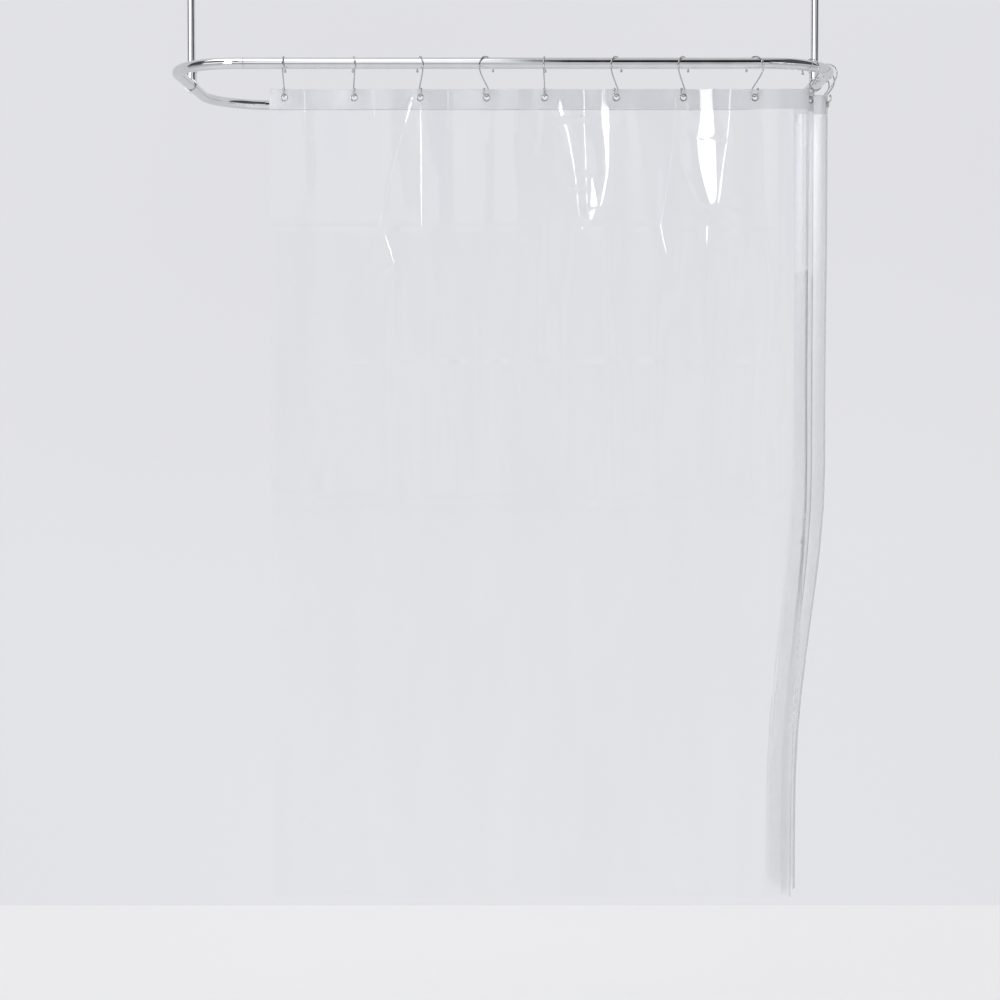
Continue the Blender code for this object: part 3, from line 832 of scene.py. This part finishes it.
def plan_row(v):
    """x, y of every column at depth v below the top edge."""
    tuck = 0.065 * smooth((v - 0.85) / 0.75)
    out = np.zeros((len(U), 2))
    t0 = np.array([1.0, 0.0])
    first = HOOKS[0][0] + np.array([0.0, 1.0]) * tuck
    last_c, last_a, _ = HOOKS[-1]
    tl = np.array([math.cos(last_a), math.sin(last_a)])
    nl = np.array([-math.sin(last_a), math.cos(last_a)])
    last = last_c + nl * tuck
    for k in range(12):
        c, a, _ = HOOKS[k]
        t = np.array([math.cos(a), math.sin(a)])
        n = np.array([-math.sin(a), math.cos(a)])
        near = np.abs(U - EYES[k]) <= PATCH + 1e-9
        out[near] = c + n * tuck + np.outer(U[near] - EYES[k], t)
    edge = U < EYES[0] - PATCH
    out[edge] = first + np.outer(U[edge] - EYES[0], t0)
    edge = U > EYES[-1] + PATCH
    out[edge] = last + np.outer(U[edge] - EYES[-1], tl)
    for k in range(11):
        inside = (U > EYES[k] + PATCH) & (U < EYES[k + 1] - PATCH)
        share = (U[inside] - EYES[k] - PATCH) / (PITCH - 2 * PATCH)
        straight = k < 7
        length = PITCH - 2 * PATCH
        sway = 0.25 * math.sin(2.1 * v + 1.3 * k) if not straight else 0.0
        if straight:
            # on the front run the spare width shows as shallow folds
            (c0, _, _), (c1, _, _) = HOOKS[k], HOOKS[k + 1]
            span = c1[0] - c0[0] - 2 * PATCH
            length = span * 1.0008
        if k == 7:
            # the film runs on past the start of the bend and turns back sharply
            plan = gap_plan(k, tuck, length, -1, 0.35, late_lobe)
        else:
            plan = gap_plan(k, tuck, length, FOLDS[k], sway)
        out[inside] = plan(share)
    return out


def v_fold(u, v, top_u, top_w, apex_u, apex_v, slope, power=1.0):
    """A fold that hangs from the header and narrows to a point: width falls
    from top_w to nothing at the apex, with flanks of the given slope."""
    t = np.clip(v / apex_v, 0.0, 1.0)
    width = top_w * (1 - t) ** power + 0.004
    centre = top_u + (apex_u - top_u) * t
    x = (u - centre) / (width / 2)
    shape = np.where(np.abs(x) < 1, 0.5 * (1 + np.cos(math.pi * np.clip(x, -1, 1))), 0.0)
    fade = smooth((1 - t) / 0.08)
    return slope * width / 2 * shape * fade


def along_path(v, path, lead=0.010, tail=0.045):
    """Column position of a path given as (v, u) pairs, and how strongly it is
    there: it fades in over lead and out over tail."""
    pv = np.array([a for a, _ in path])
    pu = np.array([b for _, b in path])
    centre = np.interp(v, pv, pu)
    fade = smooth((v - pv[0]) / lead + 1.0) * smooth((pv[-1] - v) / tail)
    return centre, fade


def ridge(u, v, path, width, height, tail=0.045, lead=0.010):
    """A soft crease along a path."""
    centre, fade = along_path(v, path, lead, tail)
    return height * np.exp(-(((u - centre) / width) ** 2)) * fade


def depth_field(u, v):
    """How far the front run stands in (+) or out (-) of the line of hooks."""
    y = np.zeros(np.broadcast(u, v).shape)
    # soft folds that hang between the hooks
    y += v_fold(u, v, g(0, 0.52), 0.110, g(0, 0.42), 0.60, 0.012)
    y -= v_fold(u, v, g(1, 0.55), 0.120, g(1, 0.42), 0.300, 0.024)
    y += v_fold(u, v, g(2, 0.55), 0.110, g(2, 0.40), 0.52, 0.024)
    y -= v_fold(u, v, g(3, 0.50), 0.110, g(3, 0.55), 0.46, 0.032)
    y += v_fold(u, v, g(5, 0.55), 0.110, g(5, 0.62), 0.40, 0.045)
    # long soft folds lower down
    for path, width, height in (
        ([(0.36, g(3, -0.02)), (0.70, g(3, 0.10)), (1.30, g(3, 0.46))], 0.016, 0.0022),
        ([(0.52, g(3, 0.72)), (0.90, g(4, 0.10)), (1.35, g(4, 0.42))], 0.014, 0.0024),
        ([(0.58, g(5, 0.16)), (0.95, g(5, 0.30)), (1.20, g(5, 0.38))], 0.012, 0.0022),
        ([(0.40, g(7, 0.10)), (0.80, g(6, 0.88)), (1.20, g(6, 0.78))], 0.022, 0.0036),
        ([(0.46, g(6, 0.55)), (0.90, g(6, 0.48)), (1.30, g(6, 0.40))], 0.018, 0.0030),
        ([(0.33, g(2, 0.30)), (0.60, g(2, 0.42)), (1.05, g(2, 0.62))], 0.015, 0.0018),
        ([(0.30, g(0, 0.15)), (0.90, g(0, 0.22)), (1.60, g(0, 0.20))], 0.016, 0.0012),
    ):
        y -= ridge(u, v, path, width, height, 0.5, 0.25)
    y += ridge(u, v, [(0.58, g(1, 0.54)), (1.32, g(1, 0.55))], 0.0050, 0.0009, 0.15, 0.05)
    return y


grid = np.zeros((NV, NU, 3))
keys = np.concatenate([[0.0], np.linspace(0.85, SHEET_H, 12)])
plans = np.array([plan_row(v) for v in keys])
for i, v in enumerate(V):
    j = min(len(keys) - 2, max(0, int(np.searchsorted(keys, v) - 1)))
    t = (v - keys[j]) / (keys[j + 1] - keys[j])
    plan = plans[j] * (1 - t) + plans[j + 1] * t
    grid[i, :, 0] = np.interp(uu[i], U, plan[:, 0])
    grid[i, :, 1] = np.interp(uu[i], U, plan[:, 1])
    grid[i, :, 2] = TOP_Z - v

# How much of the free movement each point gets: none at the eyelets
near_eye = np.min(
    np.hypot(uu[:, :, None] - EYES[None, None, :], (vv - EYE_V)[:, :, None]), axis=2
)
free = smooth((near_eye - 0.010) / 0.030)
side_share = smooth((uu - EYES[7]) / PITCH)  # 0 on the front run, 1 round the bend
front = 1 - side_share

# broad swells that grow below the header
body = waves(uu, vv, 9, 0.16, 0.42, 11, 3.0) * 0.0042 * smooth((vv - 0.06) / 0.35)
low = waves(uu, vv, 6, 0.30, 0.70, 5, 4.0) * 0.0070 * smooth((vv - 0.30) / 0.80)


# packing creases
def zigzag(s, depth):
    return depth * (np.abs((s / FOLD) % 2.0 - 1.0) - 0.5)


pack = zigzag(vv, 0.0050) * (0.4 + 0.6 * np.sin(2.3 * uu + 0.6) ** 2)
pack += zigzag(uu, 0.0040) * smooth((vv - 0.20) / 0.3)
# each crease also keeps a narrow pinch
for n in range(1, 6):
    c = FOLD * n
    strength = 0.0007 * (0.35 + 0.65 * waves(uu, vv, 5, 0.10, 0.30, 40 + n) ** 2)
    pack += strength * np.exp(-((vv - c) / 0.0034) ** 2) * (1 if n % 2 else -1)
    strength = 0.0004 * (0.35 + 0.65 * waves(vv, uu, 5, 0.10, 0.30, 60 + n) ** 2)
    pack += strength * np.exp(-((uu - c) / 0.0040) ** 2) * smooth((vv - 0.18) / 0.2)
# short soft ripples under each eyelet, where the weight gathers
gather = np.zeros_like(uu)
for n, e in enumerate(EYES):
    away = (uu - e) / (0.014 + 0.22 * np.clip(vv - EYE_V, 0, 1))
    gather += 0.0005 * np.cos(3.0 * away + 0.7 * n) * np.exp(-(away**2) / 3) * np.exp(
        -np.clip(vv - EYE_V, 0, 9) / 0.10
    ) * smooth((vv - EYE_V) / 0.02)
small = waves(uu, vv, 20, 0.045, 0.110, 21, 1.8) * 0.00050 * smooth((vv - 0.04) / 0.1)
header_wave = waves(uu, vv, 7, 0.09, 0.22, 33, 6.0) * 0.0010

calm = 0.62 + 0.38 * smooth((uu - 0.40) / 0.45)
offset = (depth_field(uu, vv) * front + (body + low) * calm + pack + gather + small + header_wave) * free
offset *= 0.30 + 0.70 * front


# The strips: the sheet takes one steep angle across each, and comes back to
# its place over the film beside it
SOFTBOX_X, SOFTBOX_Y = -2.3, -3.9
CAMERA_X, CAMERA_Y = -0.0071, FRONT_Y - 3.90
clear_of_eyes = smooth((near_eye - 0.0092) / 0.006)
for i, v in enumerate(V):
    masks = [strip_mask(strip, uu[i], v) for strip in STRIPS]
    if not np.any([m.max() > 0 for m in masks]):
        continue
    x, y = grid[i, :, 0], grid[i, :, 1] + offset[i]
    slope = np.gradient(y, uu[i]) / np.maximum(np.gradient(x, uu[i]), 0.2)
    steep = np.tan(
        0.5
        * (
            np.arctan((SOFTBOX_X - x) / (FRONT_Y - SOFTBOX_Y))
            + np.arctan((CAMERA_X - x) / (FRONT_Y - CAMERA_Y))
        )
    )
    total = np.sum(masks, axis=0)
    union = 1 - np.prod([1 - m for m in masks], axis=0)
    union *= clear_of_eyes[i] * front[i]
    for strip, mask in zip(STRIPS, masks):
        if mask.max() <= 0:
            continue
        m = mask * np.where(total > 0, union / np.maximum(total, 1e-9), 0.0)
        left, right, here = strip_sides(strip, v)
        reach = 0.018 + 1.3 * (right - left)
        back = (
            smooth((uu[i] - left) / reach + 1.0)
            * smooth((right - uu[i]) / reach + 1.0)
            * (1 - union)
            * clear_of_eyes[i]
        )
        rise = (steep - slope) * m
        step = np.diff(uu[i])
        gain = np.concatenate([[0], np.cumsum((rise[1:] + rise[:-1]) / 2 * step)])
        give = np.concatenate([[0], np.cumsum((back[1:] + back[:-1]) / 2 * step)])
        offset[i] += gain - give * (gain[-1] / max(give[-1], 1e-9))

# along the sheet's own horizontal normal
du = np.gradient(grid[:, :, :2], axis=1)
du /= np.maximum(np.linalg.norm(du, axis=2), 1e-9)[:, :, None]
normal = np.stack([-du[:, :, 1], du[:, :, 0]], axis=2)
# fold walls on the side run are kept apart by moving them less
grid[:, :, 0] += normal[:, :, 0] * offset
grid[:, :, 1] += normal[:, :, 1] * offset
# the lower edge is cut straight but hangs a little unevenly
grid[:, :, 2] += 0.004 * waves(uu, vv * 0, 5, 0.25, 0.6, 3) * smooth((vv - 1.2) / 0.6)


def sheet_mesh(name, rows_used, outward, thickness, ridge=None):
    """The film's grid as a closed skin with round holes at the eyelets."""
    part = grid[rows_used].copy()
    nv = part.shape[0]
    gu = np.gradient(part, axis=1)
    gv = np.gradient(part, axis=0)
    nor = np.cross(gv, gu)
    nor /= np.maximum(np.linalg.norm(nor, axis=2), 1e-12)[:, :, None]
    # outward is away from the inside of the hoop
    if nor[0, 2, 1] > 0:
        nor = -nor
    lift = np.full((nv, NU), outward)
    if ridge is not None:
        lift = lift + ridge[rows_used]
    part += nor * lift[:, :, None]
    flat_u, flat_v = uu[rows_used], vv[rows_used]
    hole, radius = 0.0061, 0.0064
    dist = np.hypot(flat_u[:, :, None] - EYES, (flat_v - EYE_V)[:, :, None])
    nearest = dist.argmin(axis=2)
    dist = dist.min(axis=2)
    centre_d = 0.25 * (dist[:-1, :-1] + dist[1:, :-1] + dist[:-1, 1:] + dist[1:, 1:])
    keep = centre_d > hole
    used = np.zeros((nv, NU), bool)
    gone = ~keep
    touch = np.zeros((nv, NU), bool)
    for dv in (0, 1):
        for dw in (0, 1):
            used[dv : nv - 1 + dv, dw : NU - 1 + dw] |= keep
            touch[dv : nv - 1 + dv, dw : NU - 1 + dw] |= gone
    # vertices round each hole are moved onto its circle
    rim = touch & used & (dist < 0.0098)
    for i, j in zip(*np.nonzero(rim)):
        k = nearest[i, j]
        c, a, _ = HOOKS[k]
        du_, dv_ = flat_u[i, j] - EYES[k], flat_v[i, j] - EYE_V
        r = math.hypot(du_, dv_)
        scale = radius / r - 1
        t = np.array([math.cos(a), math.sin(a), 0.0])
        part[i, j] += t * du_ * scale + np.array([0, 0, -1.0]) * dv_ * scale
    # below FINE_END only every second column is kept
    first_coarse = int(np.searchsorted(V[rows_used], FINE_END - 1e-6))
    for i in range(first_coarse + 1, nv):
        used[i, 1::2] = False
    index = -np.ones((nv, NU), int)
    index[used] = np.arange(used.sum())
    verts = part[used]
    nors = nor[used]
    faces = []
    for i, j in zip(*np.nonzero(keep[: min(first_coarse, nv - 1)])):
        faces.append((index[i, j], index[i + 1, j], index[i + 1, j + 1], index[i, j + 1]))
    for i in range(first_coarse, nv - 1):
        for j in range(0, NU - 1, 2):
            corners = [index[i, j], index[i + 1, j], index[i + 1, j + 2], index[i, j + 2]]
            if i == first_coarse:
                corners.append(index[i, j + 1])
            faces.append(tuple(corners))
    count = len(verts)
    front_v = verts + nors * thickness / 2
    back_v = verts - nors * thickness / 2
    # rim edges: those with one face
    seen = {}
    for f in faces:
        for a, b in zip(f, f[1:] + f[:1]):
            seen[(a, b)] = True
    rims = [(a, b) for (a, b) in seen if (b, a) not in seen]
    all_faces = [tuple(f) for f in faces]
    all_faces += [tuple(reversed([i + count for i in f])) for f in faces]
    all_faces += [(b, a, a + count, b + count) for a, b in rims]
    mesh = mesh_from(name, np.concatenate([front_v, back_v]), all_faces)
    work = bmesh.new()
    work.from_mesh(mesh)
    bmesh.ops.recalc_face_normals(work, faces=work.faces)
    work.to_mesh(mesh)
    work.free()
    return mesh


film = link("clear_film_sheet", sheet_mesh("clear_film_sheet", np.arange(NV), 0.0, 0.00018), FILM)
header_rows = np.nonzero(V <= HEADER + 1e-6)[0]
weld = 0.00018 * (
    np.exp(-((vv - 0.0412) / 0.0007) ** 2) + 0.8 * np.exp(-((vv - 0.0012) / 0.0008) ** 2)
)
band = link(
    "header_layer",
    sheet_mesh("header_layer", header_rows, 0.00044, 0.00020, weld),
    BAND,
)
for piece, node, slot in ((film, "curtain_film", "clear_film"), (band, "header_band", "header_film")):
    piece.visible_shadow = False
    sharp_shade(piece, 50)
    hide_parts(node)
    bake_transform(piece)


# ------------------------------------------------------------ stage, light, camera
FLOOR_Z = -2.442
floor_mesh = bpy.data.meshes.new("studio_floor")
floor_mesh.from_pydata([(-9, -9, FLOOR_Z), (9, -9, FLOOR_Z), (9, 9, FLOOR_Z), (-9, 9, FLOOR_Z)], [], [(0, 1, 2, 3)])
floor = link("studio_floor", floor_mesh, smooth=False)
mat, nt, p = nodes_of("floor_paint")
vec = mapped(nt)
nt.links.new(ramp(nt, noise(nt, vec, 0.6, 2.0), [(0.3, (0.80, 0.80, 0.82)), (0.7, (0.84, 0.84, 0.855))]), p.inputs["Base Color"])
p.inputs["Roughness"].default_value = 0.6
p.inputs["Base Color"].default_value = (0.5, 0.5, 0.5, 1)
p.inputs["Specular IOR Level"].default_value = 0.1
lift = nt.nodes.new("ShaderNodeMixShader")
lift.inputs["Fac"].default_value = 0.25
own = nt.nodes.new("ShaderNodeEmission")
own.inputs["Color"].default_value = (0.915, 0.915, 0.925, 1)
seen = nt.nodes.new("ShaderNodeLightPath")
far = nt.nodes.new("ShaderNodeVectorMath")
far.operation = "LENGTH"
nt.links.new(mapped(nt), far.inputs[0])
dim = nt.nodes.new("ShaderNodeMath")
dim.operation = "MULTIPLY"
nt.links.new(seen.outputs["Is Reflection Ray"], dim.inputs[0])
nt.links.new(spread(nt, far.outputs["Value"], 0.12, 0.45, 3.2, 6.5), dim.inputs[1])
nt.links.new(spread(nt, dim.outputs[0], 1.0, 0.0, 0.0, 1.0), own.inputs["Strength"])
nt.links.new(own.outputs[0], lift.inputs[1])
nt.links.new(p.outputs[0], lift.inputs[2])
nt.links.new(lift.outputs[0], nt.nodes["Material Output"].inputs["Surface"])
floor_mesh.materials.append(mat)

WALL_Y = 0.45
wall_mesh = bpy.data.meshes.new("studio_wall")
wall_mesh.from_pydata([(-7, WALL_Y, FLOOR_Z), (7, WALL_Y, FLOOR_Z), (7, WALL_Y, 2.2), (-7, WALL_Y, 2.2)], [], [(0, 1, 2, 3)])
wall = link("studio_wall", wall_mesh, smooth=False)
mat = bpy.data.materials.new("wall_paint")
mat.use_nodes = True
nt = mat.node_tree
nt.nodes.clear()
vec = mapped(nt, (0.35, 1.0, 0.5))
tone = ramp(nt, noise(nt, vec, 1.0, 1.0), [(0.25, (0.735, 0.735, 0.772)), (0.75, (0.775, 0.778, 0.802))])
glow = nt.nodes.new("ShaderNodeEmission")
nt.links.new(tone, glow.inputs["Color"])
seen = nt.nodes.new("ShaderNodeLightPath")
nt.links.new(spread(nt, seen.outputs["Is Reflection Ray"], 1.0, 0.85, 0.0, 1.0), glow.inputs["Strength"])
clear = nt.nodes.new("ShaderNodeBsdfTransparent")
geo = nt.nodes.new("ShaderNodeNewGeometry")
mix = nt.nodes.new("ShaderNodeMixShader")
nt.links.new(geo.outputs["Backfacing"], mix.inputs["Fac"])
nt.links.new(glow.outputs[0], mix.inputs[1])
nt.links.new(clear.outputs[0], mix.inputs[2])
out = nt.nodes.new("ShaderNodeOutputMaterial")
nt.links.new(mix.outputs[0], out.inputs["Surface"])
wall_mesh.materials.append(mat)

world = bpy.data.worlds.new("studio")
bpy.context.scene.world = world
world.use_nodes = True
nt = world.node_tree
nt.nodes.clear()
coord = nt.nodes.new("ShaderNodeTexCoord")
split = nt.nodes.new("ShaderNodeSeparateXYZ")
nt.links.new(coord.outputs["Generated"], split.inputs["Vector"])


def maths(operation, a, b=None):
    node = nt.nodes.new("ShaderNodeMath")
    node.operation = operation
    for socket, value in zip(node.inputs, (a, b)):
        if isinstance(value, (int, float)):
            socket.default_value = value
        elif value is not None:
            nt.links.new(value, socket)
    return node.outputs[0]


# bearing from the camera's side of the object, in degrees, and height
bearing = maths("MULTIPLY", maths("ARCTAN2", split.outputs["X"], maths("MULTIPLY", split.outputs["Y"], -1.0)), 180 / math.pi)
height = split.outputs["Z"]


def between(value, low, high, soft):
    up = nt.nodes.new("ShaderNodeMapRange")
    up.interpolation_type = "SMOOTHSTEP"
    down = nt.nodes.new("ShaderNodeMapRange")
    down.interpolation_type = "SMOOTHSTEP"
    for node, at in ((up, low), (down, high)):
        node.inputs["From Min"].default_value = at - soft
        node.inputs["From Max"].default_value = at + soft
        nt.links.new(value, node.inputs["Value"])
    down.inputs["To Min"].default_value = 1.0
    down.inputs["To Max"].default_value = 0.0
    return maths("MULTIPLY", up.outputs["Result"], down.outputs["Result"])


def panel(under, bearings, heights, soft, tone):
    """A soft-edged panel of one tone in the studio round the object."""
    node = nt.nodes.new("ShaderNodeMixRGB")
    where = maths("MULTIPLY", between(bearing, *bearings, soft[0]), between(height, *heights, soft[1]))
    nt.links.new(where, node.inputs["Fac"])
    nt.links.new(under, node.inputs["Color1"])
    node.inputs["Color2"].default_value = (tone, tone, tone * 1.015, 1.0)
    return node.outputs[0]


tone = nt.nodes.new("ShaderNodeRGB")
tone.outputs[0].default_value = (0.58, 0.58, 0.60, 1)
around = tone.outputs[0]
for bearings, heights, soft, value in (
    ((-120, 120), (-0.30, 0.10), (12.0, 0.05), 0.48),  # eye level
    ((-66, 1.0), (0.07, 1.2), (3.0, 0.05), 1.12),  # large pale wall on the left
    ((-97, -67), (-0.10, 0.80), (4.0, 0.05), 0.18),
    ((-172, -66), (0.14, 0.78), (4.0, 0.06), 0.07),
    ((-66, -10), (0.34, 0.74), (3.0, 0.06), 0.09),
    ((-40, -6.4), (-0.34, -0.11), (1.6, 0.03), 0.10),
    ((-5.0, 1.0), (-0.34, -0.11), (2.0, 0.03), 0.62),
    ((1.2, 15), (-0.20, 0.86), (1.2, 0.12), 0.015),  # dark side on the right
    ((0.8, 15.5), (-0.40, 0.165), (1.8, 0.03), 0.32),
    ((15, 34), (0.13, 0.24), (2.0, 0.02), 1.0),
    ((15, 150), (0.26, 0.92), (3.0, 0.05), 0.04),
    ((36, 104), (0.13, 0.90), (4.0, 0.03), 0.08),
    ((15, 130), (-0.06, 0.09), (4.0, 0.03), 0.66),
):
    around = panel(around, bearings, heights, soft, value)
# uneven upright bands at eye level
column = nt.nodes.new("ShaderNodeTexNoise")
column.noise_dimensions = "1D"
column.inputs["Scale"].default_value = 0.16
column.inputs["Detail"].default_value = 1.5
nt.links.new(bearing, column.inputs["W"])
bands = maths(
    "MULTIPLY",
    spread(nt, column.outputs["Fac"], 0.0, 0.45, 0.46, 0.62),
    maths("MULTIPLY", between(height, -0.28, 0.10, 0.06), between(bearing, -50, 50, 8.0)),
)
lit = nt.nodes.new("ShaderNodeMixRGB")
lit.blend_type = "ADD"
lit.inputs["Fac"].default_value = 1.0
nt.links.new(around, lit.inputs["Color1"])
nt.links.new(bands, lit.inputs["Color2"])
studio = nt.nodes.new("ShaderNodeBackground")
nt.links.new(lit.outputs[0], studio.inputs["Color"])
studio.inputs["Strength"].default_value = 1.0
backdrop = nt.nodes.new("ShaderNodeBackground")
backdrop.inputs["Color"].default_value = (0.745, 0.745, 0.775, 1)
path = nt.nodes.new("ShaderNodeLightPath")
choose = nt.nodes.new("ShaderNodeMixShader")
# what is looked at directly or through the film is the plain backdrop
nt.links.new(
    maths("MAXIMUM", path.outputs["Is Camera Ray"], path.outputs["Is Transmission Ray"]), choose.inputs["Fac"]
)
nt.links.new(studio.outputs[0], choose.inputs[1])
nt.links.new(backdrop.outputs[0], choose.inputs[2])
out = nt.nodes.new("ShaderNodeOutputWorld")
nt.links.new(choose.outputs[0], out.inputs["Surface"])


def softbox(name, at, target, size_x, size_y, power):
    lamp = bpy.data.lights.new(name, "AREA")
    lamp.shape = "RECTANGLE"
    lamp.size, lamp.size_y = size_x, size_y
    lamp.energy = power
    obj = bpy.data.objects.new(name, lamp)
    bpy.context.scene.collection.objects.link(obj)
    obj.location = at
    obj.rotation_euler = (Vector(target) - Vector(at)).to_track_quat("-Z", "Y").to_euler()
    return obj


softbox("softbox_strip", (SOFTBOX_X, SOFTBOX_Y, 0.20), (0, -0.3, 0.0), 0.80, 2.9, 42)
softbox("softbox_top", (-1.62, -1.2, 2.6), (-0.4, 0, -0.6), 3.0, 2.0, 22)

scene = bpy.context.scene
scene.view_settings.view_transform = "Standard"
if hasattr(scene, "cycles"):
    # many clear layers stand one behind another where the curtain is parked
    scene.cycles.max_bounces = 40
    scene.cycles.transmission_bounces = 40
    scene.cycles.transparent_max_bounces = 40

cam = bpy.data.cameras.new("camera")
camera = bpy.data.objects.new("camera", cam)
scene.collection.objects.link(camera)
cam.sensor_width = 36.0
cam.lens = 62.9
cam.shift_y = -0.087
camera.location = (-0.0071, FRONT_Y - 3.90, -0.945)
camera.rotation_euler = (math.radians(90.0 - 2.0), 0.0, 0.0)
scene.camera = camera
